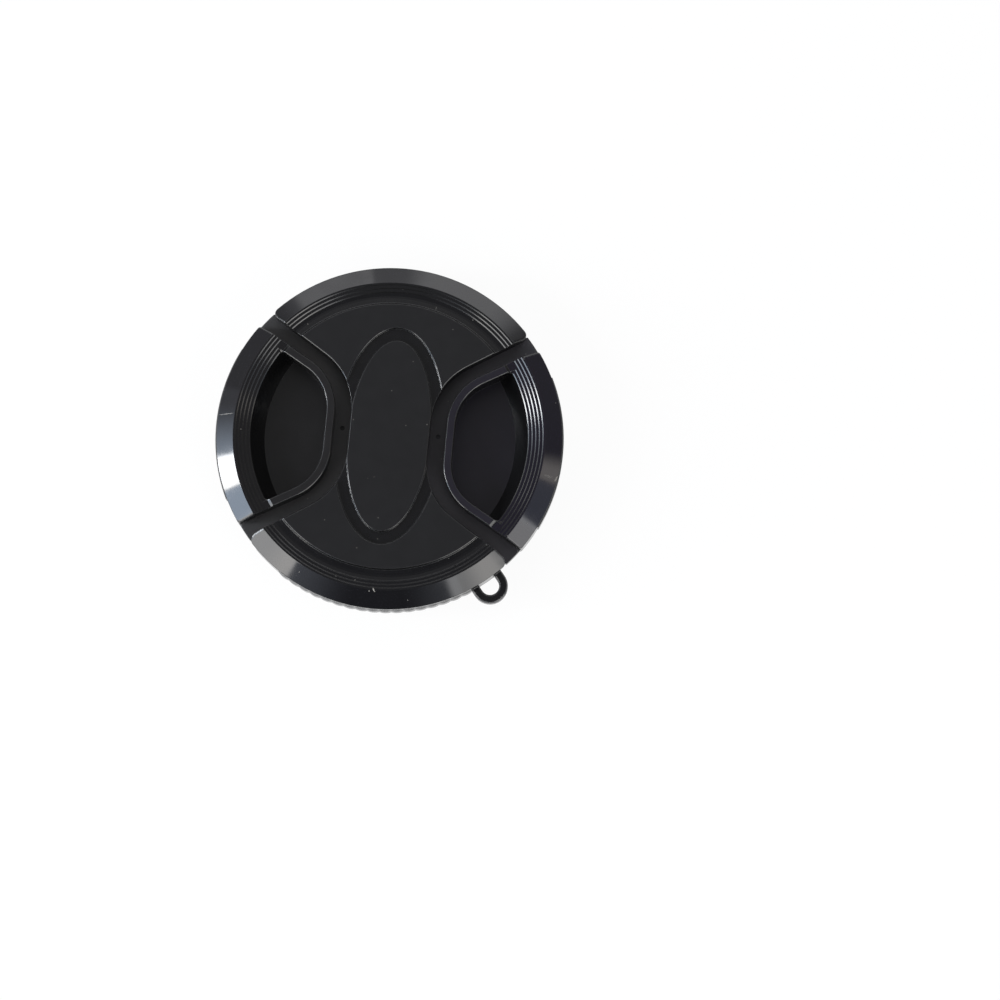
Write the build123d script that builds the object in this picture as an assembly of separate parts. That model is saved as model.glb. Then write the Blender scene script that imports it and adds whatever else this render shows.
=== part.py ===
from build123d import *
import math
import os

# Lens cap that clips into a filter thread with two centre-pinch latches, in millimetres and degrees.
# Z is the optical axis with the front face up, X is the latches' line of travel, and Z = 0 is the
# plane of the rear ring, on which the cap rests.

# Rim and rear ring
shoulder_width = 1.9
side_height = 4.0
bevel_width = 3.1
bevel_height = 2.1
rim_corner = 1.2
ring_radius = 28.4
ring_wall = 1.5
ring_height = 3.2
ring_lead = 0.4

# Stepped slope inside the crest
crest_flat = 0.28
step_tread = 0.45
step_riser = 0.18
step_drop = 0.15
shell_steps = 3

# Front panel
panel_thickness = 1.45
channel_width = 1.95
channel_bank = 0.6
channel_fall = 0.2
channel_rise = 0.18
disc_rise = 0.5
disc_draft = 0.12
pad_half_width = 7.3
pad_half_length = 17.0
groove_width = 2.1
groove_depth = 0.6
lip_wall = 1.0
edge_break = 0.15

# Opening in the shell for a latch: a straight run, two bends and two flared sides
opening_run = 7.0
opening_half = 3.5
opening_bend = 11.7
opening_flare = 32.2

# Grip wall of a latch, the same kind of outline inside the opening
moat_width = 2.85
moat_depth = 3.2
grip_half = 3.3
grip_bend = 10.0
grip_flare = 29.8
grip_wall = 1.45
grip_ledge = 1.5
grip_rise = 0.35
grip_ramp = 0.45
grip_corner = 0.5

# Latch
travel = 2.4
slide_gap = 0.2
run_gap = 0.3
flange_thickness = 1.5
flange_inset = 0.1
flange_corner = 0.25
flange_cover = 0.5
pocket_depth = 3.95
pocket_slope = 2.2
pocket_floor = 1.3
pocket_wall = 1.3
pocket_corner = 1.2
snap_half_angle = 27.0
snap_ridge = 0.5
snap_pitch = 0.75
keel_offset = 7.0
keel_width = 1.4
keel_web = 4.2
keel_inset = 2.65
keel_gap = 0.1
gate_offset = 1.05
gate_radius = 0.4
gate_depth = 0.2

# Side grip
rib_proud = 0.2
rib_radius = 3.2
rib_drop = 1.4
rib_slope = 0.6
rib_pitch_angle = 4.0
rib_span_angle = 64.0
band_half_angle = 26.0
band_foot = 0.4
band_drop = 0.6

# Springs, which lie along X between the two latches
spring_offset = 4.0
coil_diameter = 3.2
wire_diameter = 0.4
coil_turns = 3
wire_sides = 4
seat_margin = 0.5
seat_thickness = 1.2
seat_cover = 0.3
seat_gap = 0.4
peg_gap = 0.2
peg_sides = 6
peg_clear = 0.3
end_play = 0.02

# Back plate and the shell's posts that carry it
plate_thickness = 1.5
plate_gap = 0.15
plate_lead = 0.3
post_inset = 4.3
post_shoulder = 0.7
post_spread_angle = 22.0
stake_radius = 0.9
stake_gap = 0.05
stake_overhang = 0.6
stake_head_height = 0.6

# Eyelet
eyelet_angle = -50.5
eyelet_reach = 1.0
eyelet_root = 0.6
eyelet_outer = 3.1
eyelet_inner = 1.6
eyelet_height = 2.0
eyelet_bevel = 0.25

# Heights
rim_z = ring_height + side_height
crest_z = rim_z + bevel_height
slope_z = crest_z - shell_steps * step_drop
channel_z = slope_z - channel_fall
disc_z = channel_z + disc_rise
panel_under_z = channel_z - panel_thickness
sill_z = slope_z - step_drop
slope_top_z = sill_z - step_drop
grip_z = slope_z + grip_rise
flange_z = grip_z - moat_depth
flange_under_z = flange_z - flange_thickness
lip_under_z = flange_z + slide_gap
floor_z = slope_top_z - pocket_depth
tub_under_z = floor_z - pocket_floor
plate_z = tub_under_z - slide_gap
plate_under_z = plate_z - plate_thickness
spring_z = (plate_z + panel_under_z) / 2
top_z = 2 * crest_z

# Radii
rim_radius = ring_radius + shoulder_width
crest_radius = rim_radius - bevel_width
ring_inner = ring_radius - ring_wall
slope_end_radius = crest_radius - crest_flat - shell_steps * (step_riser + step_tread) + step_tread
disc_radius = slope_end_radius - channel_width
ledge_radius = slope_end_radius - step_tread
grip_end_radius = slope_end_radius - grip_ledge
pocket_radius = ledge_radius - step_riser - step_tread
slope_top_radius = pocket_radius - step_riser
post_circle = ring_inner - post_inset
post_radius = stake_radius + post_shoulder
stake_head_radius = stake_radius + stake_overhang
peg_radius = coil_diameter / 2 - wire_diameter - peg_gap

# Places and lengths along X
grip_run = opening_run + moat_width
keel_x = grip_run + keel_inset
keel_length = ring_inner - travel - run_gap - keel_web - keel_x
flange_overlap = lip_wall + seat_gap + seat_thickness
seat_x = opening_run - flange_overlap
peg_length = seat_x - travel - peg_clear

from_left = (Align.MIN, Align.CENTER)
small_sides = 12
tiny = 0.001


def window(run, half, bend, flare, grow):
    """Plan on the +X side: a straight run, two bends and two flared sides that leave the rim."""
    x = run - grow
    bow = JernArc((x, half), (0, 1), bend + grow, flare - 90)
    start = bow @ 1
    end = start + Vector(2 * rim_radius, 0).rotate(Axis.Z, flare)
    upper = [Line((x, 0), (x, half)), bow, Line(start, end)]
    lower = [edge.mirror(Plane.XZ) for edge in upper]
    return make_face([*upper, Line(end, (end.X, -end.Y)), *lower])


def opening(grow=0.0):
    """Plan of the shell's opening, grown outwards."""
    return window(opening_run, opening_half, opening_bend, opening_flare, grow)


def grip(grow=0.0):
    """Plan inside the latch's grip wall, grown outwards from its outer face."""
    return window(grip_run, grip_half, grip_bend, grip_flare, grow)


def slab(plan, bottom, top):
    """Plate of the given plan between two heights."""
    return extrude(Pos(0, 0, bottom) * plan, amount=top - bottom, dir=(0, 0, 1))


def turned(*points):
    """Solid of revolution about Z from points of radius and height."""
    return revolve(Plane.XZ * make_face(Polyline(*points, close=True)), Axis.Z, 360)


def sector(half_angle):
    """Plan of a sector about +X that reaches past the rim."""
    far = 2 * rim_radius
    side = far * math.tan(math.radians(half_angle))
    return make_face(Polyline((0, 0), (far, -side), (far, side), close=True))


def both_sides(solid):
    """The solid and its mirror image on the other side of the YZ plane."""
    return [solid, mirror(solid, Plane.YZ)]


def edges_at(solid, height):
    """Edges that lie flat at one height."""
    return solid.edges().filter_by_position(Axis.Z, height - tiny, height + tiny)


def corners_at(plan, radius):
    """Corners of a plan that lie on a circle about the axis."""
    return [corner for corner in plan.vertices() if abs(corner.center().length - radius) < tiny]


def wall_tops(solid, plan, height, radius):
    """Edges flat at one height over the outline of a plan, within a radius."""
    outline = Curve() + plan.edges()
    found = []
    for edge in edges_at(solid, height):
        foot = edge.position_at(0.5) - Vector(0, 0, height)
        if foot.length < radius and outline.distance_to(Vertex(foot)) < tiny:
            found.append(edge)
    return found


def rim_outline():
    """Points of the side wall, bevel, crest and steps, from the seat up and inwards to the steps' foot."""
    points = [(rim_radius, ring_height), (rim_radius, rim_z), (crest_radius, crest_z)]
    radius = crest_radius - crest_flat
    for index in range(shell_steps):
        height = crest_z - index * step_drop
        points.append((radius, height))
        points.append((radius - step_riser, height - step_drop))
        radius -= step_riser + step_tread
    return points


def side_ribs():
    """Upright rounded ribs with sloped tops, side by side on the two fixed arcs of the side wall."""
    round_bar = Pos(rim_radius + rib_proud - rib_radius, 0) * Circle(rib_radius)
    pitches = math.floor(rib_span_angle / rib_pitch_angle)
    angles = [rib_pitch_angle * (index - pitches / 2) for index in range(pitches + 1)]
    top = rim_z - rib_drop
    crown = turned(
        (ring_radius, ring_height),
        (rim_radius + 2 * rib_proud, ring_height),
        (rim_radius + 2 * rib_proud, top - 2 * rib_slope),
        (rim_radius - rib_proud, top + rib_slope),
        (ring_radius, top + rib_slope),
    )
    solids = []
    for middle in (90, 270):
        row = Sketch() + [Rot(0, 0, middle + angle) * round_bar for angle in angles]
        solids.append(crown & slab(row - Circle(ring_radius), ring_height, top + rib_slope))
    return solids


def eyelet():
    """Loop on the side wall for a lanyard."""
    middle = rim_radius + eyelet_reach
    root = rim_radius - eyelet_root
    loop = Pos(middle, 0) * Circle(eyelet_outer)
    loop += Pos((root + middle) / 2, 0) * Rectangle(middle - root, 2 * eyelet_outer)
    loop -= Pos(middle, 0) * Circle(eyelet_inner)
    loop -= Pos((rim_radius + middle) / 2, 0) * Rectangle(eyelet_reach, 2 * eyelet_inner)
    body = slab(loop, ring_height, ring_height + eyelet_height)
    return Rot(0, 0, eyelet_angle) * chamfer(edges_at(body, ring_height + eyelet_height), eyelet_bevel)


def post_places():
    """Places of the four posts, two behind each fixed arc."""
    turns = (-post_spread_angle, post_spread_angle)
    return [Rot(0, 0, middle + turn) * Pos(post_circle, 0, 0) for middle in (90, 270) for turn in turns]


def post():
    """Post with a shoulder on the plate, a stake through it and a formed head behind it."""
    column = slab(RegularPolygon(post_radius, small_sides), plate_z, panel_under_z)
    stake = slab(RegularPolygon(stake_radius, small_sides), plate_under_z, plate_z)
    head_z = plate_under_z - stake_head_height
    head = slab(RegularPolygon(stake_head_radius, small_sides), head_z, plate_under_z)
    return column + stake + head


def fixed_arcs():
    """Plan of the shell seen from the front, with rounded corners where its rim ends."""
    plan = Circle(rim_radius) - opening() - mirror(opening(), Plane.YZ)
    return fillet(corners_at(plan, rim_radius), rim_corner)


def oval(half_width, half_length, flare):
    """Oval prism from the groove's floor up, with a bevelled top that flares or narrows."""
    foot_z = disc_z - edge_break
    foot = Ellipse(half_width, half_length)
    mouth = Ellipse(half_width + 2 * flare, half_length + 2 * flare)
    bevel = loft([Pos(0, 0, foot_z) * foot, Pos(0, 0, disc_z + edge_break) * mouth])
    return slab(foot, disc_z - groove_depth, foot_z) + bevel


def front_shell():
    """Fixed front moulding: panel, rim arcs, rear ring arcs, lips, posts, ribs and eyelet."""
    shell = turned(
        (ring_inner, 0),
        (ring_radius - ring_lead, 0),
        (ring_radius, ring_lead),
        (ring_radius, ring_height),
        *rim_outline(),
        (slope_end_radius - channel_bank, channel_z),
        (disc_radius + disc_draft, channel_z + channel_rise),
        (disc_radius, disc_z - edge_break),
        (disc_radius - edge_break, disc_z),
        (0, disc_z),
        (0, panel_under_z),
        (ring_inner, panel_under_z),
    )
    lip = slab((opening(lip_wall) & Circle(crest_radius)) - opening(), lip_under_z, channel_z)
    shell += both_sides(lip)
    shell -= slab(Circle(2 * rim_radius) - fixed_arcs(), lip_under_z, top_z)
    shell = chamfer(wall_tops(shell, fixed_arcs(), disc_z, disc_radius), edge_break)
    surround = oval(pad_half_width + groove_width, pad_half_length + groove_width, edge_break)
    shell -= surround - oval(pad_half_width, pad_half_length, -edge_break)
    swing = flange_cover + travel * math.sin(math.radians(opening_flare)) + run_gap
    shell -= both_sides(slab(opening(swing), -ring_height, lip_under_z))
    shell += eyelet()
    shell += side_ribs()
    shell += [place * post() for place in post_places()]
    return shell


def flange():
    """Base of the latch: the floor of the moat, which also runs under the shell's lip."""
    radius = rim_radius - flange_inset
    shown = opening(flange_cover) & Circle(radius)
    shown = fillet(corners_at(shown, radius), flange_corner)
    hidden = opening(flange_overlap) & Circle(ring_inner - run_gap)
    return slab(shown + hidden, flange_under_z, flange_z)


def gate_mark():
    """Shallow round dimple in the floor of the moat."""
    place = Pos((opening_run + grip_run) / 2, gate_offset)
    return slab(place * RegularPolygon(gate_radius, small_sides), flange_z - gate_depth, grip_z)


def spring_seats():
    """Two upright seats at the latch's inner edge, each with a peg that centres a spring."""
    solids = []
    for y in (-spring_offset, spring_offset):
        seat = Rectangle(seat_thickness, coil_diameter + 2 * seat_margin, align=from_left)
        seat = Pos(seat_x, y) * seat
        solids.append(slab(seat, tub_under_z, panel_under_z - seat_cover))
        peg = extrude(RegularPolygon(peg_radius, peg_sides), amount=peg_length)
        solids.append(Pos(seat_x, y, spring_z) * Rot(0, -90, 0) * peg)
    return solids


def snap_arc():
    """Rear arc of the latch with the ridges that catch in a filter thread."""
    points = [
        (ring_inner, slide_gap),
        (ring_radius - ring_lead, slide_gap),
        (ring_radius, slide_gap + ring_lead),
    ]
    ridges = math.floor((ring_height - ring_lead - slide_gap) / snap_pitch)
    for index in range(ridges):
        low = ring_height - (ridges - index) * snap_pitch
        points.append((ring_radius, low))
        points.append((ring_radius + snap_ridge, low + snap_pitch / 2))
    points += [(ring_radius, ring_height), (ring_radius, rim_z), (ring_inner, rim_z)]
    return turned(*points) & slab(sector(snap_half_angle), 0, rim_z)


def keels():
    """Two rails under the latch that run in slots of the back plate."""
    rail = Rectangle(keel_length, keel_width, align=from_left)
    return [slab(Pos(keel_x, y) * rail, plate_under_z, floor_z) for y in (-keel_offset, keel_offset)]


def bowl():
    """Space of the finger pocket below its sill, with rounded corners at the ends of its slope."""
    space = turned(
        (0, floor_z),
        (slope_top_radius - pocket_slope, floor_z),
        (slope_top_radius, slope_top_z),
        (pocket_radius, sill_z),
        (0, sill_z),
    )
    reach = pocket_radius + edge_break
    plan = grip(-grip_wall) & Circle(reach)
    return space & slab(fillet(corners_at(plan, reach), pocket_corner), floor_z, sill_z)


def right_latch():
    """Sliding latch on the +X side."""
    rim = turned(
        (0, tub_under_z),
        (ring_inner, tub_under_z),
        (ring_inner, ring_height),
        *rim_outline(),
        (grip_end_radius, slope_z),
        (grip_end_radius - grip_ramp, grip_z),
        (0, grip_z),
    )
    band_low = ring_height + band_foot
    band_high = rim_z - band_drop
    band = turned(
        (ring_radius, band_low),
        (rim_radius, band_low),
        (rim_radius + rib_proud, band_low + rib_proud),
        (rim_radius + rib_proud, band_high - rib_proud),
        (rim_radius, band_high),
        (ring_radius, band_high),
    )
    mouth = turned(
        (0, sill_z),
        (ledge_radius - step_riser, sill_z),
        (ledge_radius, slope_z),
        (ledge_radius, top_z),
        (0, top_z),
    )
    slope_run = pocket_slope / pocket_depth
    back_run = pocket_wall * math.hypot(1, slope_run)
    back_radius = slope_top_radius - slope_run * (slope_top_z - tub_under_z) + back_run
    hollow_z = slope_top_z - pocket_wall
    hollow = turned(
        (back_radius, tub_under_z - slide_gap),
        (back_radius, tub_under_z),
        (back_radius + slope_run * (hollow_z - tub_under_z), hollow_z),
        (ring_inner, hollow_z),
        (ring_inner, tub_under_z - slide_gap),
    )
    inside = slab(grip(-grip_wall), 0, top_z)
    outside = grip() & Circle(rim_radius)
    outside = fillet(corners_at(outside, rim_radius), grip_corner)
    latch = (rim & slab(outside, 0, top_z)) + flange()
    latch = chamfer(wall_tops(latch, grip(), grip_z, grip_end_radius), edge_break)
    latch -= mouth & inside
    latch -= bowl()
    latch = chamfer(wall_tops(latch, grip(-grip_wall), grip_z, grip_end_radius), edge_break)
    latch -= hollow & inside
    latch += band & slab(sector(band_half_angle), 0, top_z)
    latch += snap_arc()
    latch += spring_seats()
    latch += keels()
    return latch - gate_mark()


def back_plate():
    """Rear cover with stake holes, room for the latches' snap arcs, and keel slots."""
    plate = slab(Circle(ring_inner - plate_gap), plate_under_z, plate_z)
    plate = chamfer(edges_at(plate, plate_under_z), plate_lead)
    arc_half = (ring_radius + snap_ridge) * math.sin(math.radians(snap_half_angle)) + run_gap
    clear = Rectangle(2 * rim_radius, 2 * arc_half, align=from_left)
    clear -= Pos(-travel - run_gap, 0) * Circle(ring_inner)
    slot_length = keel_length + travel + run_gap + keel_gap
    slot = Rectangle(slot_length, keel_width + 2 * keel_gap, align=from_left)
    for y in (-keel_offset, keel_offset):
        clear += Pos(keel_x - travel - run_gap, y) * slot
    plate -= both_sides(slab(clear, 0, plate_z))
    hole = slab(RegularPolygon(stake_radius + stake_gap, small_sides), plate_under_z, plate_z)
    plate -= [place * hole for place in post_places()]
    return plate


def spring(y):
    """Compression spring between the seats of the two latches."""
    length = 2 * (seat_x - end_play) - wire_diameter
    coil_radius = (coil_diameter - wire_diameter) / 2
    path = Helix(length / coil_turns, length, coil_radius)
    section = RegularPolygon(wire_diameter / 2, wire_sides)
    wire = sweep(Plane(path @ 0, z_dir=path % 0) * section, path=path, is_frenet=True)
    return Pos(-length / 2, y, spring_z) * Rot(0, 90, 0) * wire


latch = right_latch()
nodes = {
    "front_shell": front_shell(),
    "left_latch": mirror(latch, Plane.YZ),
    "right_latch": latch,
    "back_plate": back_plate(),
    "upper_spring": spring(spring_offset),
    "lower_spring": spring(-spring_offset),
}
os.makedirs("parts", exist_ok=True)
for name, solid in nodes.items():
    export_step(solid, f"parts/{name}.step")
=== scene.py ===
"""Dresses a black centre-pinch lens cap and sets it under soft studio light, in metres and degrees."""

import logging
import math
from dataclasses import dataclass
from enum import Enum

import bmesh
import bpy
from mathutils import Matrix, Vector


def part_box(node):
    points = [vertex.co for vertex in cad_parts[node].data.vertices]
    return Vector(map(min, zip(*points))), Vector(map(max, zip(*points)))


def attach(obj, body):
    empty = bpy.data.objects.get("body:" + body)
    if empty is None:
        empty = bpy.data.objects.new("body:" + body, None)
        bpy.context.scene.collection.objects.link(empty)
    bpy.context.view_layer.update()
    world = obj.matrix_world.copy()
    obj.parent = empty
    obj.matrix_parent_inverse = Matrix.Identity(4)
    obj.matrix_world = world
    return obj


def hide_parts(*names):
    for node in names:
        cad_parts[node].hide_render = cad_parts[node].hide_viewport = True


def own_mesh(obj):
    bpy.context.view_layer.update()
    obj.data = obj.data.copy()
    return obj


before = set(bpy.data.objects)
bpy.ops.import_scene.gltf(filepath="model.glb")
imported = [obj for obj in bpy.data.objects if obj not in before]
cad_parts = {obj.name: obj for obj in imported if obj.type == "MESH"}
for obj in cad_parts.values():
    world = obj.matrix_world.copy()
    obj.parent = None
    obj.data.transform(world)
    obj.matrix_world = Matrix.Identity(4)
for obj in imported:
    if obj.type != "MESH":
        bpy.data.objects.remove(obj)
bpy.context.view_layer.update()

MM = 0.001
UP = (0.0, 0.0, 1.0)
WHITE = (1.0, 1.0, 1.0)
NOISE_SPAN = (0.3, 0.7)
IMAGE_PIXELS = 1000

Span = tuple[float, float]
Triple = tuple[float, float, float]
Socket = bpy.types.NodeSocket
Value = float | Socket

log = logging.getLogger("lens_cap")


class Body(Enum):
    """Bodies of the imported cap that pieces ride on."""

    SHELL = "shell"
    LEFT_LATCH = "left_latch"
    RIGHT_LATCH = "right_latch"


class Slot(Enum):
    """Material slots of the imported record."""

    SHELL = "shell"
    LATCH = "latch"
    PLATE = "plate"
    SPRING = "spring"


class Side(Enum):
    """Half of a spring, with the joint that presses it."""

    LEFT = "left_slide"
    RIGHT = "right_slide"

    @property
    def joint(self) -> str:
        """Name of the slide joint."""
        return self.value


class Blend(Enum):
    """Kind of value that a Mix node blends, with the places of its first input and of its result."""

    NUMBER = ("FLOAT", 2, 0)
    VECTOR = ("VECTOR", 4, 1)
    COLOUR = ("RGBA", 6, 2)


@dataclass(frozen=True)
class CapSizes:
    """Radii and heights of the moulded forms, which bound the zones of finish."""

    rim_radius: float = 30.3 * MM
    rib_radius: float = 30.24 * MM
    crest_radius: float = 27.2 * MM
    bank_outer: float = 25.42 * MM
    bank_inner: float = 24.5 * MM
    step_radius: float = 24.2 * MM
    disc_outer: float = 23.8 * MM
    disc_radius: float = 23.5 * MM
    disc_inner: float = 22.9 * MM
    grip_height: float = 9.2 * MM
    disc_height: float = 9.15 * MM
    step_height: float = 8.54 * MM
    moat_height: float = 8.0 * MM
    rim_height: float = 7.2 * MM
    rib_top: float = 6.4 * MM
    flange_height: float = 6.0 * MM
    bowl_height: float = 5.5 * MM
    pocket_height: float = 4.6 * MM
    rib_foot: float = 4.4 * MM
    margin: float = 0.03 * MM


@dataclass(frozen=True)
class FlaredEnd:
    """Straight flared edge at which a rim arc ends, the same in all four quarters of the plan.

    Attributes:
        flare: Angle between the edge and the X axis.
        offset: Distance of the edge's line from the optical axis.
        band: Half the width of the strip along the edge that looks more rounded.
    """

    flare: float
    offset: float
    band: float = 0.6 * MM


SIZES = CapSizes()
SHELL_END = FlaredEnd(32.2, 4.70 * MM)
LATCH_END = FlaredEnd(29.8, 3.00 * MM)


class NodeSketch:
    """Adds nodes to one tree and joins their sockets."""

    def __init__(self, tree: bpy.types.NodeTree) -> None:
        """Starts from an emptied tree.

        Args:
            tree: Node tree of a material, a world or a light.
        """
        tree.nodes.clear()
        self.tree = tree

    def add(
        self, kind: str, inputs: dict[str, Value | Triple] | None = None, **settings: object
    ) -> bpy.types.Node:
        """Adds one node.

        Args:
            kind: Blender's name of the node type.
            inputs: Values or sockets for the named inputs.
            settings: Properties of the node itself.

        Returns:
            The new node.
        """
        node = self.tree.nodes.new(kind)
        for name, setting in settings.items():
            setattr(node, name, setting)
        for name, value in (inputs or {}).items():
            self.put(node.inputs[name], value)
        return node

    def put(self, socket: Socket, value: Value | Triple) -> None:
        """Links a socket to another one, or sets it to a plain value.

        Args:
            socket: Input socket.
            value: Output socket, number, vector or colour.
        """
        if isinstance(value, Socket):
            self.tree.links.new(value, socket)
        elif isinstance(value, tuple) and socket.type == "RGBA":
            socket.default_value = (*value, 1.0)
        else:
            socket.default_value = value

    def math(self, operation: str, *values: Value) -> Socket:
        """Adds a Math node.

        Args:
            operation: Blender's name of the operation.
            values: Its operands.

        Returns:
            The result's socket.
        """
        node = self.add("ShaderNodeMath", operation=operation)
        for socket, value in zip(node.inputs, values):
            self.put(socket, value)
        return node.outputs[0]

    def above(self, value: Value, limit: float) -> Socket:
        """Mask that is 1 where a value exceeds a limit."""
        return self.math("GREATER_THAN", value, limit)

    def below(self, value: Value, limit: float) -> Socket:
        """Mask that is 1 where a value stays under a limit."""
        return self.math("LESS_THAN", value, limit)

    def both(self, *masks: Value) -> Socket:
        """Product of all masks, which is 1 where every one of them is.

        Args:
            masks: Masks to multiply.

        Returns:
            The product.
        """
        result = masks[0]
        for mask in masks[1:]:
            result = self.math("MULTIPLY", result, mask)
        return result

    def split(self, vector: Value) -> tuple[Socket, Socket, Socket]:
        """The X, Y and Z parts of a vector."""
        parts = self.add("ShaderNodeSeparateXYZ", {"Vector": vector}).outputs
        return parts["X"], parts["Y"], parts["Z"]

    def dot(self, first: Value, second: Value | Triple) -> Socket:
        """Dot product of two vectors.

        Args:
            first: One vector.
            second: The other one.

        Returns:
            The product.
        """
        node = self.add("ShaderNodeVectorMath", operation="DOT_PRODUCT")
        self.put(node.inputs[0], first)
        self.put(node.inputs[1], second)
        return node.outputs["Value"]

    def remap(self, value: Value, source: Span, target: Span) -> Socket:
        """Maps a range of values smoothly on another one.

        Args:
            value: Socket to map.
            source: Range that it comes in.
            target: Range that it goes to.

        Returns:
            The mapped socket.
        """
        inputs = {
            "Value": value,
            "From Min": source[0],
            "From Max": source[1],
            "To Min": target[0],
            "To Max": target[1],
        }
        return self.add("ShaderNodeMapRange", inputs, interpolation_type="SMOOTHSTEP").outputs["Result"]

    def mixed(
        self, kind: Blend, factor: Value, start: Value | Triple, end: Value | Triple, way: str = "MIX"
    ) -> Socket:
        """Adds a Mix node.

        Args:
            kind: Kind of value that is mixed.
            factor: Share of the second value.
            start: Value at factor 0.
            end: Value at factor 1.
            way: Blender's name of the way in which colours mix.

        Returns:
            The mixed value.
        """
        data_type, first, result = kind.value
        node = self.add("ShaderNodeMix", data_type=data_type, blend_type=way)
        for index, value in zip((0, first, first + 1), (factor, start, end)):
            self.put(node.inputs[index], value)
        return node.outputs[result]

    def mix(self, factor: Value, start: Value, end: Value) -> Socket:
        """Number that goes from the start to the end as the factor goes from 0 to 1."""
        return self.mixed(Blend.NUMBER, factor, start, end)

    def blend(self, factor: Value, start: Value | Triple, end: Value | Triple) -> Socket:
        """Colour that goes from the start to the end as the factor goes from 0 to 1."""
        return self.mixed(Blend.COLOUR, factor, start, end)

    def cast(self, factor: Value, colour: Value, addition: Triple) -> Socket:
        """Colour to which a share of a faint painted tint of the light is added."""
        return self.mixed(Blend.COLOUR, factor, colour, addition, "ADD")

    def level(self, factor: Value, normal: Value) -> Socket:
        """Turns a normal towards the vertical, so that a slope looks gentler.

        Args:
            factor: Share of the turn.
            normal: Normal to turn.

        Returns:
            The turned normal.
        """
        turned = self.add("ShaderNodeVectorMath", operation="NORMALIZE")
        self.put(turned.inputs[0], self.mixed(Blend.VECTOR, factor, normal, UP))
        return turned.outputs["Vector"]

    def noise(self, place: Value, size: float, detail: float = 3.0) -> Socket:
        """Cloudy noise with features of a given size.

        Args:
            place: Coordinates in metres.
            size: Size of a feature in metres.
            detail: Number of finer octaves.

        Returns:
            Noise from 0 to 1.
        """
        inputs = {"Vector": place, "Scale": 1 / size, "Detail": detail}
        return self.add("ShaderNodeTexNoise", inputs).outputs["Fac"]


def new_material(name: str) -> tuple[bpy.types.Material, NodeSketch]:
    """Makes a material with an empty node tree.

    Args:
        name: Name of the material.

    Returns:
        The material, and the sketch that adds nodes to it.
    """
    material = bpy.data.materials.new(name)
    material.use_nodes = True
    return material, NodeSketch(material.node_tree)


def new_object(name: str, data: bpy.types.ID) -> bpy.types.Object:
    """Puts a mesh, a lamp or a camera into the scene.

    Args:
        name: Name of the object.
        data: What the object shows.

    Returns:
        The new object.
    """
    holder = bpy.data.objects.new(name, data)
    bpy.context.scene.collection.objects.link(holder)
    return holder


def heading(azimuth: float, elevation: float) -> Vector:
    """Unit vector that points away from the cap.

    Args:
        azimuth: Degrees about Z, counted from +X.
        elevation: Degrees above the floor.

    Returns:
        The unit vector.
    """
    turn = math.radians(azimuth)
    rise = math.radians(elevation)
    return Vector((math.cos(rise) * math.cos(turn), math.cos(rise) * math.sin(turn), math.sin(rise)))


class MouldedForms:
    """Masks of the moulded forms, from where a shaded point lies and which way its face looks.

    Attributes:
        sketch: Tree that the masks are added to.
        place: Coordinates in metres.
        x: Coordinate along X.
        y: Coordinate along Y.
        z: Height.
        radius: Distance from the optical axis.
        upward: Share of the face's normal that points up.
        flat: Mask of the faces that look up.
        steep: Mask of the walls and slopes.
        inner: Mask of all that lies inside the rim's crest.
        outer: Mask of all that lies outside it.
        steps: Mask of the stepped ring.
        bank: Mask of the bank by which the channel rises to the stepped ring.
        ribs: Mask of the grip ribs on the side wall.
    """

    def __init__(self, sketch: NodeSketch, steep_slope: float) -> None:
        """Adds the nodes that measure the point, and the masks that are used more than once.

        Args:
            sketch: Tree to add to.
            steep_slope: Share of the normal along Z under which a face counts as steep.
        """
        self.sketch = sketch
        self.place = sketch.add("ShaderNodeTexCoord").outputs["Object"]
        self.x, self.y, self.z = sketch.split(self.place)
        square = sketch.math("MULTIPLY_ADD", self.x, self.x, sketch.math("MULTIPLY", self.y, self.y))
        self.radius = sketch.math("SQRT", square)
        self.upward = sketch.split(sketch.add("ShaderNodeNewGeometry").outputs["True Normal"])[2]
        self.flat = sketch.above(self.upward, steep_slope)
        self.steep = sketch.below(sketch.math("ABSOLUTE", self.upward), steep_slope)
        self.inner = self.within(SIZES.crest_radius)
        self.outer = self.beyond(SIZES.crest_radius)
        raised = self.over(SIZES.step_height)
        self.steps = sketch.both(self.beyond(SIZES.step_radius), self.inner, raised)
        self.bank = sketch.both(self.beyond(SIZES.bank_inner), self.within(SIZES.bank_outer), raised)
        rib_band = sketch.both(self.over(SIZES.rib_foot), self.under(SIZES.rib_top))
        self.ribs = sketch.both(self.beyond(SIZES.rib_radius), self.steep, rib_band)

    def within(self, radius: float) -> Socket:
        """Mask of all that lies nearer to the optical axis than a radius."""
        return self.sketch.below(self.radius, radius)

    def beyond(self, radius: float) -> Socket:
        """Mask of all that lies further from the optical axis than a radius."""
        return self.sketch.above(self.radius, radius)

    def under(self, height: float) -> Socket:
        """Mask of all that lies lower than a height."""
        return self.sketch.below(self.z, height)

    def over(self, height: float) -> Socket:
        """Mask of all that lies higher than a height."""
        return self.sketch.above(self.z, height)

    def near(self, height: float) -> Socket:
        """Mask of all that lies at a height, within the margin."""
        return self.sketch.both(self.over(height - SIZES.margin), self.under(height + SIZES.margin))

    def ends(self, end: FlaredEnd) -> Socket:
        """Mask of the strips along the flared ends of the rim arcs.

        Args:
            end: Edge at which the arcs end.

        Returns:
            Mask of 0 or 1.
        """
        sketch = self.sketch
        flare = math.radians(end.flare)
        back = sketch.math("MULTIPLY", sketch.math("ABSOLUTE", self.x), -math.sin(flare))
        across = sketch.math("MULTIPLY_ADD", sketch.math("ABSOLUTE", self.y), math.cos(flare), back)
        away = sketch.math("ABSOLUTE", sketch.math("SUBTRACT", across, end.offset))
        return sketch.below(away, end.band)


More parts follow.
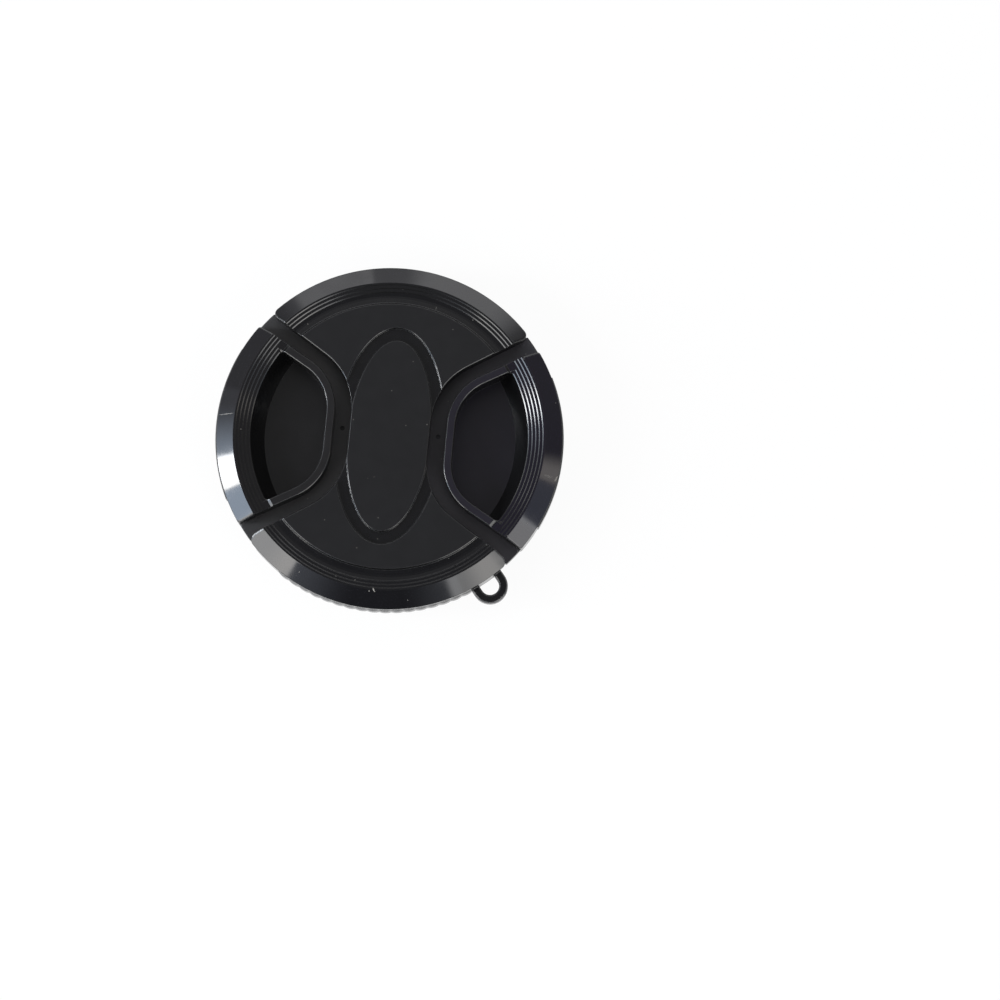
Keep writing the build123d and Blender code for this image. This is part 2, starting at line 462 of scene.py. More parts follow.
@dataclass(frozen=True)
class Surface:
    """Finish of one zone of a moulding.

    Attributes:
        dark: Darkest colour.
        light: Lightest colour.
        roughness: Lowest and highest roughness.
        grain_size: Size of the moulded grain.
        grain_depth: Height of the grain.
        blotch_size: Size of the clouds in which colour and roughness change.
    """

    dark: Triple
    light: Triple
    roughness: Span
    grain_size: float
    grain_depth: float
    blotch_size: float = 2.5 * MM

    def sketch(self, sketch: NodeSketch, place: Value) -> tuple[Socket, Socket, Socket]:
        """Adds the nodes of this finish.

        Args:
            sketch: Tree to add to.
            place: Coordinates in metres.

        Returns:
            Colour, roughness and height sockets.
        """
        grain = sketch.noise(place, self.grain_size)
        blotch = sketch.noise(place, self.blotch_size)
        colour = sketch.blend(blotch, self.dark, self.light)
        roughness = sketch.remap(blotch, NOISE_SPAN, self.roughness)
        height = sketch.math("MULTIPLY", grain, self.grain_depth)
        return colour, roughness, height


SATIN = Surface((0.0016, 0.0016, 0.0017), (0.0026, 0.0026, 0.0027), (0.24, 0.30), 0.35 * MM, 0.0012 * MM)
# Lighter than the plastic elsewhere: painted light that makes up for the shade in the moat.
MOAT_PAINTED_LIGHT = Surface((0.0330, 0.0327, 0.0333), (0.0370, 0.0367, 0.0373), (0.40, 0.46), 0.3 * MM, 0.0014 * MM)
# Painted shade in the gate dimple between the flange and the bowl: black on most pieces, fainter on the right
# latch in the next line.
PIT_PAINTED_SHADE = Surface((0.0, 0.0, 0.0), (0.0006, 0.0006, 0.0006), (0.5, 0.6), 0.3 * MM, 0.0014 * MM)
FAINT_PIT_PAINTED_SHADE = Surface((0.0150, 0.0150, 0.0152), (0.0180, 0.0180, 0.0182), (0.5, 0.6), 0.3 * MM, 0.0014 * MM)
FLOOR = Surface((0.0024, 0.0024, 0.0025), (0.0038, 0.0038, 0.0039), (0.38, 0.44), 0.3 * MM, 0.0014 * MM)
WALL = Surface((0.0026, 0.0026, 0.0028), (0.0036, 0.0036, 0.0038), (0.12, 0.16), 0.5 * MM, 0.0004 * MM)
EDGE = Surface((0.0034, 0.0034, 0.0036), (0.0044, 0.0044, 0.0046), (0.10, 0.14), 0.35 * MM, 0.0006 * MM)
STEPPED = Surface((0.0034, 0.0034, 0.0036), (0.0044, 0.0044, 0.0046), (0.16, 0.20), 0.35 * MM, 0.0008 * MM)
GRAINED = Surface((0.0022, 0.0022, 0.0023), (0.0034, 0.0034, 0.0035), (0.395, 0.42), 0.16 * MM, 0.0045 * MM)
POLISHED = Surface((0.0028, 0.0028, 0.0031), (0.0040, 0.0040, 0.0043), (0.07, 0.10), 0.7 * MM, 0.0006 * MM)
# Lighter than the plastic elsewhere: a painted reflection of the white floor, which the side wall mirrors at
# a grazing angle.
SIDE_PAINTED_REFLECTION = Surface((0.0120, 0.0120, 0.0122), (0.0160, 0.0160, 0.0162), (0.13, 0.18), 0.4 * MM, 0.0010 * MM)
# Much lighter: a painted reflection of the floor on the sloped crowns of the grip ribs.
RIB_CROWN_PAINTED_REFLECTION = Surface((0.060, 0.060, 0.061), (0.090, 0.090, 0.091), (0.16, 0.22), 0.4 * MM, 0.0010 * MM)
MOULDED = Surface((0.0060, 0.0060, 0.0063), (0.0090, 0.0090, 0.0093), (0.34, 0.42), 0.3 * MM, 0.0020 * MM)


@dataclass(frozen=True)
class Fleck:
    """One small mark on the front of the cap: a speck of dust, a short scratch, or in two places a painted
    highlight of a burr and a nick.

    Attributes:
        x: Place along X.
        y: Place along Y.
        length: Length over the soft edge.
        width: Width over the soft edge.
        turn: Angle between its length and the X axis.
        strength: How strongly it covers the finish below.
        soft_edge: Squared shares of its half length at which it starts and is full.
    """

    x: float
    y: float
    length: float
    width: float
    turn: float = 0.0
    strength: float = 1.0
    soft_edge: Span = (1.0, 0.3)

    def sketch(self, sketch: NodeSketch, x: Value, y: Value) -> Socket:
        """Adds the nodes of a soft-edged oval mask.

        Args:
            sketch: Tree to add to.
            x: Coordinate along X in metres.
            y: Coordinate along Y in metres.

        Returns:
            Mask from 0 to the fleck's strength.
        """
        across_x = sketch.math("SUBTRACT", x, self.x)
        across_y = sketch.math("SUBTRACT", y, self.y)
        cosine = math.cos(math.radians(self.turn))
        sine = math.sin(math.radians(self.turn))
        along = sketch.math("MULTIPLY_ADD", across_y, sine, sketch.math("MULTIPLY", across_x, cosine))
        aside = sketch.math("MULTIPLY_ADD", across_y, cosine, sketch.math("MULTIPLY", across_x, -sine))
        along = sketch.math("POWER", sketch.math("DIVIDE", along, self.length / 2), 2.0)
        aside = sketch.math("POWER", sketch.math("DIVIDE", aside, self.width / 2), 2.0)
        return sketch.remap(sketch.math("ADD", along, aside), self.soft_edge, (0.0, self.strength))


@dataclass(frozen=True)
class BlackMoulding:
    """Black plastic whose zones are grained, satin or polished, with worn edges, dust and scratches, and with
    painted light and shade: a lighter moat, side wall and rib crowns, a dark gate dimple, a tint on the faces
    that look up, lighter edges that are partly painted highlights, and two flecks that are painted
    highlights.

    Attributes:
        name: Name of the material.
        matte_height: Height of the grained top.
        end: Edge at which the rim arcs end.
        painted_pit_shade: Finish between the flange and the bowl, a painted shade that darkens the gate
            dimple.
        cast: Faint colour that is added to the faces that look up, a painted tint of the light that falls on
            them.
        flecks: Single specks and scratches, some of them painted highlights.
        edge_radius: Radius to which edges look rounded where no other one is given.
        disc_edge: The same at the edge of the disc.
        step_edge: The same on the stepped ring.
        deep_edge: The same in the moat and the pockets.
        rim_edge: The same on the bevelled rim and the side wall.
        rib_edge: The same on the grip ribs.
        end_edge: The same along the flared ends of the rim arcs.
        edge_samples: Number of rays that look for an edge.
        edge_span: Cosines between a face and its rounded edge at which the lighter edge starts and is full.
        edge_wear_and_highlight: Lighter colour of the edges, partly wear and partly a painted highlight.
        bank_ease: How far the bank's slope looks levelled.
        steep_slope: Share of the normal along Z under which a face counts as steep.
        crown_slope: Share of the normal along Z over which a rib's crown takes the painted reflection.
        dust_and_glint_colour: Colour of dust and scratches, and of the painted highlights among the flecks.
        dust_cell: Mean distance of the dust's specks.
        dust_size: Radius of a speck.
        dust_share: Share of the cells that hold a speck.
        dust_strength: How strongly a speck covers the finish below.
        dust_roughness: Roughness of dust and scratches.
        refraction: Refractive index of the plastic.
    """

    name: str
    matte_height: float
    end: FlaredEnd
    painted_pit_shade: Surface = PIT_PAINTED_SHADE
    cast: Triple = (0.0, 0.0, 0.0)
    flecks: tuple[Fleck, ...] = ()
    edge_radius: float = 0.2 * MM
    disc_edge: float = 0.2 * MM
    step_edge: float = 0.06 * MM
    deep_edge: float = 0.03 * MM
    rim_edge: float = 0.24 * MM
    rib_edge: float = 0.6 * MM
    end_edge: float = 0.6 * MM
    edge_samples: int = 12
    edge_span: Span = (0.995, 0.93)
    edge_wear_and_highlight: Triple = (0.022, 0.022, 0.023)
    bank_ease: float = 0.0
    steep_slope: float = 0.8
    crown_slope: float = 0.2
    dust_and_glint_colour: Triple = (0.19, 0.18, 0.165)
    dust_cell: float = 3.2 * MM
    dust_size: float = 0.15 * MM
    dust_share: float = 0.16
    dust_strength: float = 0.7
    dust_roughness: float = 0.7
    refraction: float = 1.5

    def build(self) -> bpy.types.Material:
        """Makes the material.

        Returns:
            The material.
        """
        material, sketch = new_material(self.name)
        forms = MouldedForms(sketch, self.steep_slope)
        colour, roughness, height = self.zones(forms)
        # Painted tint of the light on the faces that look up.
        colour = sketch.cast(forms.flat, colour, self.cast)
        bevel = sketch.add("ShaderNodeBevel", {"Radius": self.rounding(forms)}, samples=self.edge_samples)
        rounded = bevel.outputs["Normal"]
        # Lighter edges: partly wear, partly a painted highlight.
        colour = sketch.blend(self.wear_and_highlight(sketch, rounded), colour, self.edge_wear_and_highlight)
        eased = sketch.level(sketch.math("MULTIPLY", forms.bank, self.bank_ease), rounded)
        dust_and_painted_glints = sketch.both(forms.flat, self.dust_and_painted_glints(forms))
        colour = sketch.blend(dust_and_painted_glints, colour, self.dust_and_glint_colour)
        roughness = sketch.mix(dust_and_painted_glints, roughness, self.dust_roughness)
        bump = sketch.add("ShaderNodeBump", {"Height": height, "Distance": 1.0, "Normal": eased})
        inputs = {
            "Base Color": colour,
            "Roughness": roughness,
            "Normal": bump.outputs["Normal"],
            "IOR": self.refraction,
        }
        shader = sketch.add("ShaderNodeBsdfPrincipled", inputs)
        sketch.add("ShaderNodeOutputMaterial", {"Surface": shader.outputs["BSDF"]})
        return material

    def zones(self, forms: MouldedForms) -> tuple[Socket, Socket, Socket]:
        """Lays the finishes over each other by radius, height and slope.

        Args:
            forms: Masks of the moulded forms.

        Returns:
            Colour, roughness and height sockets.
        """
        sketch = forms.sketch
        crowns = sketch.both(forms.ribs, sketch.above(forms.upward, self.crown_slope))
        layers = (
            # Painted light in the moat.
            (sketch.both(forms.within(SIZES.rim_radius), forms.under(SIZES.moat_height)), MOAT_PAINTED_LIGHT),
            # Painted shade in the gate dimple.
            (sketch.both(forms.inner, forms.under(SIZES.flange_height - SIZES.margin)), self.painted_pit_shade),
            (sketch.both(forms.inner, forms.under(SIZES.bowl_height)), FLOOR),
            (sketch.both(forms.steep, forms.under(SIZES.step_height)), WALL),
            (sketch.both(forms.steep, forms.over(SIZES.step_height)), EDGE),
            (forms.steps, STEPPED),
            (sketch.both(forms.within(SIZES.disc_radius), forms.near(self.matte_height)), GRAINED),
            (sketch.both(forms.outer, forms.over(SIZES.rim_height)), POLISHED),
            # Painted reflection of the floor on the side wall.
            (sketch.both(forms.outer, forms.steep, forms.under(SIZES.rim_height)), SIDE_PAINTED_REFLECTION),
            # Painted reflection of the floor on the ribs' crowns.
            (crowns, RIB_CROWN_PAINTED_REFLECTION),
            (sketch.both(forms.inner, forms.under(SIZES.pocket_height - SIZES.margin)), MOULDED),
        )
        colour, roughness, height = SATIN.sketch(sketch, forms.place)
        for mask, surface in layers:
            over_colour, over_roughness, over_height = surface.sketch(sketch, forms.place)
            colour = sketch.blend(mask, colour, over_colour)
            roughness = sketch.mix(mask, roughness, over_roughness)
            height = sketch.mix(mask, height, over_height)
        return colour, roughness, height

    def rounding(self, forms: MouldedForms) -> Socket:
        """Radius to which the edges of each form look rounded.

        Args:
            forms: Masks of the moulded forms.

        Returns:
            The radius in metres.
        """
        sketch = forms.sketch
        layers = (
            (forms.steps, self.step_edge),
            (sketch.both(forms.beyond(SIZES.disc_inner), forms.within(SIZES.disc_outer)), self.disc_edge),
            (forms.under(SIZES.moat_height), self.deep_edge),
            (forms.outer, self.rim_edge),
            (forms.ribs, self.rib_edge),
            (sketch.both(forms.outer, forms.ends(self.end)), self.end_edge),
        )
        radius = self.edge_radius
        for mask, edge in layers:
            radius = sketch.mix(mask, radius, edge)
        return radius

    def wear_and_highlight(self, sketch: NodeSketch, rounded: Value) -> Socket:
        """Mask of the lighter edges, partly wear and partly painted highlight, where the rounded normal
        leaves the face's own.
        """
        normal = sketch.add("ShaderNodeNewGeometry").outputs["Normal"]
        return sketch.remap(sketch.dot(rounded, normal), self.edge_span, (0.0, 1.0))

    def dust_and_painted_glints(self, forms: MouldedForms) -> Socket:
        """Mask of the scattered dust and of the single flecks, some of which are painted highlights.

        Args:
            forms: Masks of the moulded forms.

        Returns:
            Mask from 0 to the strongest fleck.
        """
        sketch = forms.sketch
        inputs = {"Vector": forms.place, "Scale": 1 / self.dust_cell}
        cells = sketch.add("ShaderNodeTexVoronoi", inputs, voronoi_dimensions="2D").outputs
        chance = sketch.add("ShaderNodeSeparateColor", {"Color": cells["Color"]}).outputs["Red"]
        reach = (self.dust_size / self.dust_cell, 0.0)
        speck = sketch.remap(cells["Distance"], reach, (0.0, self.dust_strength))
        mask = sketch.both(speck, sketch.above(chance, 1 - self.dust_share))
        for fleck in self.flecks:
            mask = sketch.math("MAXIMUM", mask, fleck.sketch(sketch, forms.x, forms.y))
        return sketch.both(mask, forms.over(SIZES.pocket_height))


@dataclass(frozen=True)
class SpringWire:
    """Bright drawn spring steel."""

    name: str = "spring_wire"
    colour: Triple = (0.56, 0.55, 0.53)
    tarnish: Triple = (0.33, 0.31, 0.28)
    roughness: Span = (0.22, 0.38)
    draw_size: float = 0.12 * MM

    def build(self) -> bpy.types.Material:
        """Makes the material.

        Returns:
            The material.
        """
        material, sketch = new_material(self.name)
        place = sketch.add("ShaderNodeTexCoord").outputs["Object"]
        grain = sketch.noise(place, self.draw_size)
        inputs = {
            "Base Color": sketch.blend(grain, self.colour, self.tarnish),
            "Roughness": sketch.remap(grain, NOISE_SPAN, self.roughness),
            "Metallic": 1.0,
        }
        shader = sketch.add("ShaderNodeBsdfPrincipled", inputs)
        sketch.add("ShaderNodeOutputMaterial", {"Surface": shader.outputs["BSDF"]})
        return material


@dataclass
class FrontShell:
    """Fixed front moulding: bevelled rim arcs, stepped ring, disc with its oval pad, eyelet and rear ring."""

    node: str = "front_shell"
    finish: BlackMoulding = BlackMoulding(
        "shell_black",
        matte_height=SIZES.disc_height,
        end=SHELL_END,
        bank_ease=0.75,
        disc_edge=0.27 * MM,
        cast=(0.0, 0.0, 0.001),
        flecks=(
            Fleck(5.99 * MM, 23.34 * MM, 0.8 * MM, 0.2 * MM, 81, 0.3),
            Fleck(0.02 * MM, -27.25 * MM, 0.95 * MM, 0.28 * MM, -60, 1.6),
            Fleck(-0.75 * MM, -27.5 * MM, 0.3 * MM, 0.26 * MM, 0, 0.8),
            Fleck(-2.95 * MM, -7.9 * MM, 0.28 * MM, 0.24 * MM, 0, 0.12),
            Fleck(-1.87 * MM, -7.54 * MM, 0.5 * MM, 0.28 * MM, 25, 0.12),
        ),
    )

    def dress(self) -> bpy.types.Object:
        """Gives the moulding its finish.

        Returns:
            The dressed node.
        """
        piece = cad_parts[self.node]
        piece.material_slots[0].material = self.finish.build()
        return piece


@dataclass
class Latch:
    """Sliding finger latch: bevelled rim arc, steps, pocket, grip wall and snap ridges."""

    body: Body
    painted_pit_shade: Surface
    cast: Triple
    flecks: tuple[Fleck, ...]

    def dress(self) -> bpy.types.Object:
        """Gives the latch its finish.

        Returns:
            The dressed node.
        """
        finish = BlackMoulding(
            f"{self.body.value}_black",
            matte_height=SIZES.grip_height,
            end=LATCH_END,
            painted_pit_shade=self.painted_pit_shade,
            cast=self.cast,
            flecks=self.flecks,
        )
        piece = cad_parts[self.body.value]
        piece.material_slots[0].material = finish.build()
        return piece


LEFT_LATCH = Latch(
    Body.LEFT_LATCH,
    painted_pit_shade=PIT_PAINTED_SHADE,
    cast=(0.0004, 0.0, 0.0008),
    flecks=(
        # Painted highlight of a burr at the pocket's corner.
        Fleck(-20.3 * MM, 13.28 * MM, 0.55 * MM, 0.3 * MM, -40, 1.0),
        Fleck(-28.7 * MM, 1.3 * MM, 3.2 * MM, 0.18 * MM, 5.3, 0.5),
    ),
)
RIGHT_LATCH = Latch(
    Body.RIGHT_LATCH,
    painted_pit_shade=FAINT_PIT_PAINTED_SHADE,
    # Bluish painted tint of the light on the right latch's faces that look up.
    cast=(0.0012, 0.0, 0.0055),
    flecks=(
        Fleck(11.55 * MM, 1.4 * MM, 0.3 * MM, 0.3 * MM, 0, 1.5),
        Fleck(22.8 * MM, 4.6 * MM, 0.4 * MM, 0.36 * MM, 0, 0.15),
        Fleck(20.8 * MM, -13.45 * MM, 0.75 * MM, 0.7 * MM, 0, 0.12),
        # A nick at the rim's edge with its highlight painted in, and the whitish line beside it on the bevel.
        Fleck(29.7 * MM, -4.65 * MM, 1.3 * MM, 0.3 * MM, 69, 1.6),
        Fleck(28.25 * MM, -4.5 * MM, 1.9 * MM, 0.55 * MM, -8, 0.35),
    ),
)


@dataclass
class BackPlate:
    """Rear cover that closes the mechanism."""

    node: str = "back_plate"
    finish: BlackMoulding = BlackMoulding("plate_black", matte_height=SIZES.disc_height, end=SHELL_END)

    def dress(self) -> bpy.types.Object:
        """Gives the plate its finish.

        Returns:
            The dressed node.
        """
        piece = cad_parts[self.node]
        piece.material_slots[0].material = self.finish.build()
        return piece


@dataclass
class CoilSpring:
    """Round-wire compression spring with closed ends, made as two halves that both ride on the shell."""

    node: str
    wire_diameter: float = 0.4 * MM
    active_turns: int = 5
    closed_turns: int = 1
    turn_steps: int = 40
    wire_sides: int = 12

    def build(self, material: bpy.types.Material) -> list[bpy.types.Object]:
        """Makes both halves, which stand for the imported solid.

        Args:
            material: Finish of the wire.

        Returns:
            The two halves.
        """
        low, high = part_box(self.node)
        middle = (low + high) / 2
        half_length = (high.x - low.x) / 2
        halves = []
        for side in Side:
            piece = self.half(side, middle, half_length, (high.z - low.z) / 2)
            piece.data.materials.append(material)
            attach(piece, Body.SHELL.value)
            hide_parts(self.node)
            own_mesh(piece)
            halves.append(piece)
        return halves

    def half(self, side: Side, middle: Vector, half_length: float, outer: float) -> bpy.types.Object:
        """Makes one half of the spring as a closed tube.

        Args:
            side: Which half.
            middle: Centre of the spring.
            half_length: Half of its length over the ends.
            outer: Outer radius of the coil.

        Returns:
            The new piece.
        """
        steps = round(self.turn_steps * (self.active_turns / 2 + self.closed_turns))
        coil_radius = outer - self.wire_diameter / 2
        mesh = bmesh.new()
        rings = []
        for step in range(steps + 1):
            centre = self.centre(step / steps, middle, half_length, coil_radius)
            points = self.ring(centre, middle)
            rings.append([mesh.verts.new(self.turned(point, side, middle)) for point in points])
        for ring, following in zip(rings, rings[1:]):
            for index in range(self.wire_sides):
                after = (index + 1) % self.wire_sides
                mesh.faces.new((ring[index], ring[after], following[after], following[index])).smooth = True
        mesh.faces.new(rings[0])
        mesh.faces.new(rings[-1])
        bmesh.ops.recalc_face_normals(mesh, faces=mesh.faces)
        name = f"{self.node}_{side.name.lower()}"
        data = bpy.data.meshes.new(name)
        mesh.to_mesh(data)
        mesh.free()
        return new_object(name, data)

    def centre(self, share: float, middle: Vector, half_length: float, coil_radius: float) -> Vector:
        """Point on the wire's centre line.

        Args:
            share: Place along the wire from the middle, 0, to the end, 1.
            middle: Centre of the spring.
            half_length: Half of its length over the ends.
            coil_radius: Radius of the centre line.

        Returns:
            The point, on the half that lies towards +X.
        """
        active = self.active_turns / 2
        turns = share * (active + self.closed_turns)
        closed_start = half_length - self.wire_diameter / 2 - self.closed_turns * self.wire_diameter
        if turns < active:
            along = closed_start * turns / active
        else:
            along = closed_start + (turns - active) * self.wire_diameter
        angle = 2 * math.pi * turns
        return middle + Vector((along, coil_radius * math.cos(angle), coil_radius * math.sin(angle)))

    def ring(self, centre: Vector, middle: Vector) -> list[Vector]:
        """Points round the wire at one place.

        Args:
            centre: Point on the wire's centre line.
            middle: Centre of the spring.

        Returns:
            The points, on the half that lies towards +X.
        """
        outward = (centre - middle) * Vector((0, 1, 1))
        outward.normalize()
        points = []
        for index in range(self.wire_sides):
            angle = 2 * math.pi * index / self.wire_sides
            offset = outward * math.cos(angle) + Vector((1, 0, 0)) * math.sin(angle)
            points.append(centre + offset * self.wire_diameter / 2)
        return points

    def turned(self, point: Vector, side: Side, middle: Vector) -> Vector:
        """Takes a point of the right half to the left one by half a turn about the spring's Y axis.

        Args:
            point: Point on the right half.
            side: Half that is made.
            middle: Centre of the spring.

        Returns:
            The point on that half.
        """
        offset = point - middle
        if side is Side.LEFT:
            offset = Vector((-offset.x, offset.y, -offset.z))
        return middle + offset


@dataclass(frozen=True)
class SoftBox:
    """Soft light panel that faces the cap, given by the part of the surroundings that it covers.

    Attributes:
        name: Name of the lamp.
        azimuth: Range that it covers about Z, counted from +X.
        elevation: Range that it covers above the floor.
        radiance: Brightness of the panel.
        tint: Colour of its light.
        fade: Shares of its width over which the light rises and falls.
        distance: Distance from the cap.
    """

    name: str
    azimuth: Span
    elevation: Span
    radiance: float
    tint: Triple = WHITE
    fade: Span = (0.01, 0.01)
    distance: float = 0.9

    def build(self) -> bpy.types.Object:
        """Makes the lamp.

        Returns:
            The lamp.
        """
        azimuth = sum(self.azimuth) / 2
        elevation = sum(self.elevation) / 2
        spread = math.radians(self.azimuth[1] - self.azimuth[0])
        rise = math.radians(self.elevation[1] - self.elevation[0])
        lamp = bpy.data.lights.new(self.name, "AREA")
        lamp.shape = "RECTANGLE"
        lamp.size = 2 * self.distance * math.tan(spread / 2) * math.cos(math.radians(elevation))
        lamp.size_y = 2 * self.distance * math.tan(rise / 2)
        lamp.energy = math.pi * self.radiance * lamp.size * lamp.size_y
        lamp.color = self.tint
        self.soften(lamp)
        towards = heading(azimuth, elevation)
        holder = new_object(self.name, lamp)
        holder.location = towards * self.distance
        holder.rotation_euler = towards.to_track_quat("Z", "Y").to_euler()
        holder.visible_camera = False
        return holder

    def soften(self, lamp: bpy.types.AreaLight) -> None:
        """Lets the light rise and fall across the panel's width.

        Args:
            lamp: Lamp of this panel.
        """
        lamp.use_nodes = True
        sketch = NodeSketch(lamp.node_tree)
        across = sketch.split(sketch.add("ShaderNodeNewGeometry").outputs["Parametric"])[0]
        rise = sketch.remap(across, (0.0, self.fade[0]), (0.0, 1.0))
        fall = sketch.remap(across, (1.0, 1.0 - self.fade[1]), (0.0, 1.0))
        light = sketch.add("ShaderNodeEmission", {"Strength": sketch.both(rise, fall)})
        sketch.add("ShaderNodeOutputLight", {"Surface": light.outputs["Emission"]})


@dataclass
class Studio:
    """Pale floor, dim surroundings and the soft light panels.

    Attributes:
        floor_half: Half the floor's width.
        floor_colour: Colour by which the floor throws light back.
        floor_glow: Share of plain white that the camera sees in the floor.
        floor_gleam: Share of plain white that glossy faces see in the floor.
        low_level: Brightness of the room at the floor.
        high_level: Brightness of the room overhead.
        front_share: Share of that brightness in front.
        back_share: Share of that brightness behind.
        turn_span: Parts of a direction along Y between which the front passes into the back.
        viewer: Direction in which the viewer stands.
        viewer_reach: Angles from that direction at which the viewer's shade starts and is full.
        viewer_share: Share of the brightness that the viewer leaves.
        seen_level: Brightness of the room as the camera sees it.
        boxes: Soft light panels.
    """

    floor_half: float = 3.0
    floor_colour: Triple = (0.9, 0.9, 0.9)
    floor_glow: float = 0.94
    floor_gleam: float = 0.9
    low_level: float = 0.2
    high_level: float = 0.39
    front_share: float = 0.5
    back_share: float = 1.3
    turn_span: Span = (-0.6, 0.6)
    viewer: Triple = (0.014, -0.153, 0.988)
    viewer_reach: Span = (34.0, 6.0)
    viewer_share: float = 0.5
    seen_level: float = 1.0
    boxes: tuple[SoftBox, ...] = (
        SoftBox("left_glow", (133, 184), (2, 34), 0.14, (0.92, 0.98, 1.1), fade=(0.12, 0.02)),
        SoftBox("left_low", (146, 183), (1, 8), 3.0, fade=(0.2, 0.02)),
        SoftBox("left_step", (158, 184), (2, 34), 0.28, (0.92, 0.98, 1.1), fade=(0.08, 0.02)),
        SoftBox("left_rise", (163, 190), (2, 34), 5.2, (0.82, 0.98, 1.2), fade=(1.0, 0.01)),
        SoftBox("left_strip", (181.3, 193.2), (2, 34), 25.0, fade=(0.06, 0.02)),
        SoftBox("left_cool", (193.2, 206), (2, 38), 6.0, (0.82, 0.98, 1.2), fade=(0.01, 0.12)),
        SoftBox("left_front", (204, 231.8), (2, 40), 5.7, fade=(0.06, 0.05)),
        SoftBox("left_front_warm", (218, 231.8), (2, 40), 1.1, (1.12, 1.0, 0.84), fade=(0.9, 0.06)),
        SoftBox("left_front_tail", (231, 258), (2, 40), 0.9, (0.9, 0.98, 1.12), fade=(0.01, 1.0)),
        SoftBox("right_front_tail", (278, 303), (2, 44), 0.6, (0.92, 0.98, 1.1), fade=(1.0, 0.01)),
        SoftBox("right_front", (298.3, 342), (2, 44), 3.4, fade=(0.08, 0.04)),
        SoftBox("right_front_bright", (305, 322), (2, 44), 1.9, (1.06, 1.0, 0.93), fade=(0.6, 0.15)),
        SoftBox("right_edge", (340, 358.5), (2, 44), 0.5, (0.86, 0.98, 1.18)),
        SoftBox("right_card", (358.5, 370), (6, 40), 1.75, (1.06, 1.0, 0.93), fade=(0.03, 0.6)),
        SoftBox("back", (47.5, 139), (8, 48), 0.75, (0.99, 0.99, 1.05), fade=(0.15, 0.2)),
        SoftBox("back_right", (50.5, 94), (8, 28), 1.0, fade=(0.35, 0.2)),
        SoftBox("back_left", (101, 127.5), (8, 28), 0.85, fade=(0.05, 0.12)),
    )

    def build(self) -> None:
        """Makes the floor, the surroundings and the panels."""
        self.floor()
        self.surroundings()
        for box in self.boxes:
            box.build()

    def floor(self) -> bpy.types.Object:
        """Makes the pale floor, which glows white to the camera and keeps the cap's shadow.

        Returns:
            The floor.
        """
        mesh = bpy.data.meshes.new("floor")
        half = self.floor_half
        corners = [(-half, -half, 0), (half, -half, 0), (half, half, 0), (-half, half, 0)]
        mesh.from_pydata(corners, [], [(0, 1, 2, 3)])
        material, sketch = new_material("floor_white")
        diffuse = sketch.add("ShaderNodeBsdfDiffuse", {"Color": self.floor_colour})
        glow = sketch.add("ShaderNodeEmission", {"Strength": 1.0})
        path = sketch.add("ShaderNodeLightPath").outputs
        seen = sketch.math("MAXIMUM", path["Is Camera Ray"], path["Is Transmission Ray"])
        gleam = sketch.math("MULTIPLY", path["Is Glossy Ray"], self.floor_gleam)
        seen = sketch.math("MAXIMUM", gleam, sketch.math("MULTIPLY", seen, self.floor_glow))
        mixed = sketch.add("ShaderNodeMixShader", {"Fac": seen})
        sketch.put(mixed.inputs[1], diffuse.outputs["BSDF"])
        sketch.put(mixed.inputs[2], glow.outputs["Emission"])
        sketch.add("ShaderNodeOutputMaterial", {"Surface": mixed.outputs["Shader"]})
        mesh.materials.append(material)
        piece = new_object("floor", mesh)
        return piece

    def surroundings(self) -> None:
        """Makes a dim room that is brighter overhead and behind, and darker where the viewer stands."""
        world = bpy.data.worlds.new("studio")
        world.use_nodes = True
        sketch = NodeSketch(world.node_tree)
        direction = sketch.add("ShaderNodeTexCoord").outputs["Generated"]
        _, depth, height = sketch.split(direction)
        level = sketch.remap(height, (0.0, 1.0), (self.low_level, self.high_level))
        back = sketch.remap(depth, self.turn_span, (self.front_share, self.back_share))
        start, full = (math.cos(math.radians(angle)) for angle in self.viewer_reach)
        shade = sketch.remap(sketch.dot(direction, self.viewer), (start, full), (1.0, self.viewer_share))
        camera = sketch.add("ShaderNodeLightPath").outputs["Is Camera Ray"]
        strength = sketch.mix(camera, sketch.both(level, back, shade), self.seen_level)
        background = sketch.add("ShaderNodeBackground", {"Strength": strength, "Color": WHITE})
        sketch.add("ShaderNodeOutputWorld", {"Surface": background.outputs["Background"]})
        bpy.context.scene.world = world


@dataclass
class PhotoCamera:
    """Camera at the photograph's viewing angle.

    Attributes:
        azimuth: Degrees about Z, counted from the front.
        elevation: Degrees above the floor.
        distance: Distance from the point that it aims at.
        aim: Point in the middle of the picture.
        pixels_per_mm: Scale of the picture at that point.
        sensor_width: Width of the sensor in millimetres.
    """

    azimuth: float = 5.3
    elevation: float = 81.15
    distance: float = 0.55
    aim: Triple = (20.17 * MM, -8.15 * MM, 0.0)
    pixels_per_mm: float = 5.662
    sensor_width: float = 36.0

    def build(self) -> bpy.types.Object:
        """Makes the camera and gives it to the scene.

        Returns:
            The camera.
        """
        back = heading(self.azimuth - 90, self.elevation)
        data = bpy.data.cameras.new("photo_camera")
        data.sensor_width = self.sensor_width
        data.lens = self.sensor_width * self.pixels_per_mm * self.distance / MM / IMAGE_PIXELS
        camera = new_object("photo_camera", data)
        camera.location = Vector(self.aim) + back * self.distance
        camera.rotation_euler = (-back).to_track_quat("-Z", "Y").to_euler()
        bpy.context.scene.camera = camera
        return camera


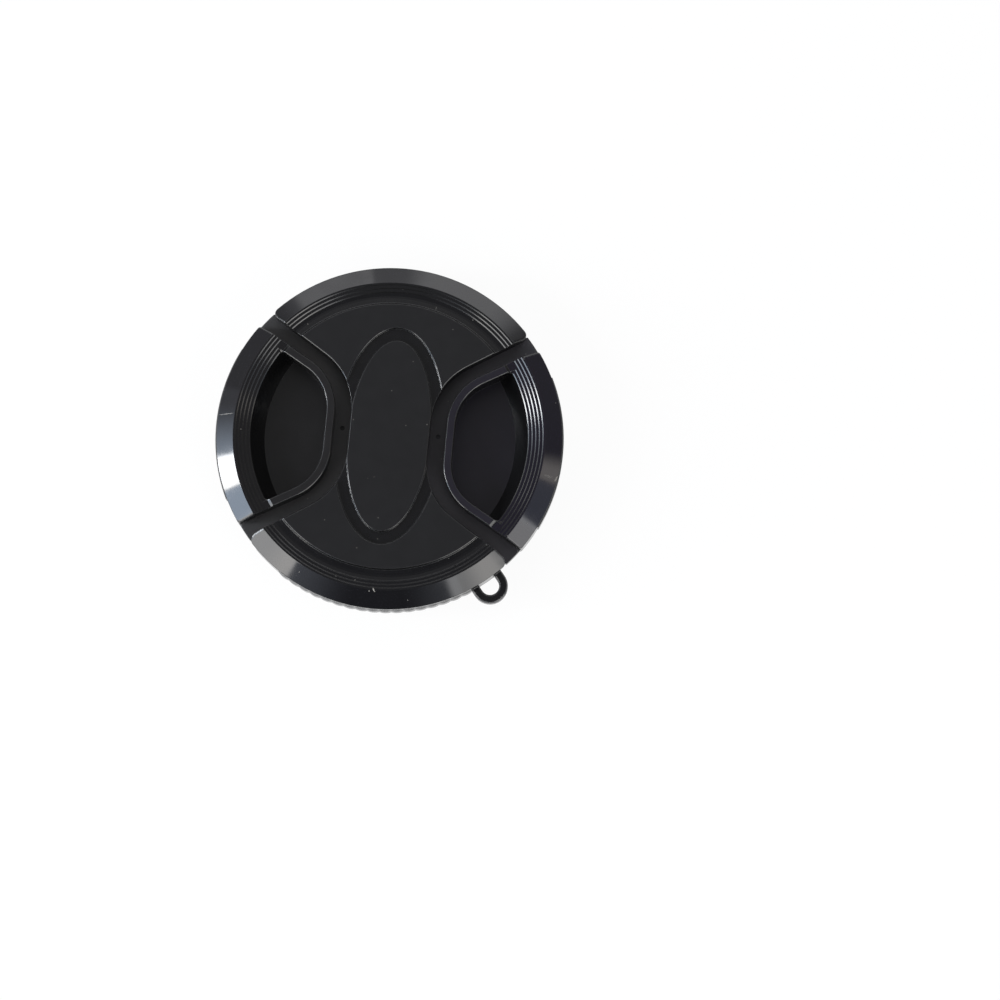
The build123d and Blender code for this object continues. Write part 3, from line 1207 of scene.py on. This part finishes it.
def main() -> None:
    """Dresses the cap, builds the springs and sets the studio."""
    logging.basicConfig(level=logging.INFO, format="%(name)s: %(message)s")
    bpy.context.scene.view_settings.view_transform = "Standard"
    for moulding in (FrontShell(), LEFT_LATCH, RIGHT_LATCH, BackPlate()):
        log.info("%s dressed", moulding.dress().name)
    wire = SpringWire().build()
    for node in ("upper_spring", "lower_spring"):
        for piece in CoilSpring(node).build(wire):
            log.info("%s built with %d faces", piece.name, len(piece.data.polygons))
    Studio().build()
    log.info("camera %s placed", PhotoCamera().build().name)


if __name__ == "__main__":
    main()
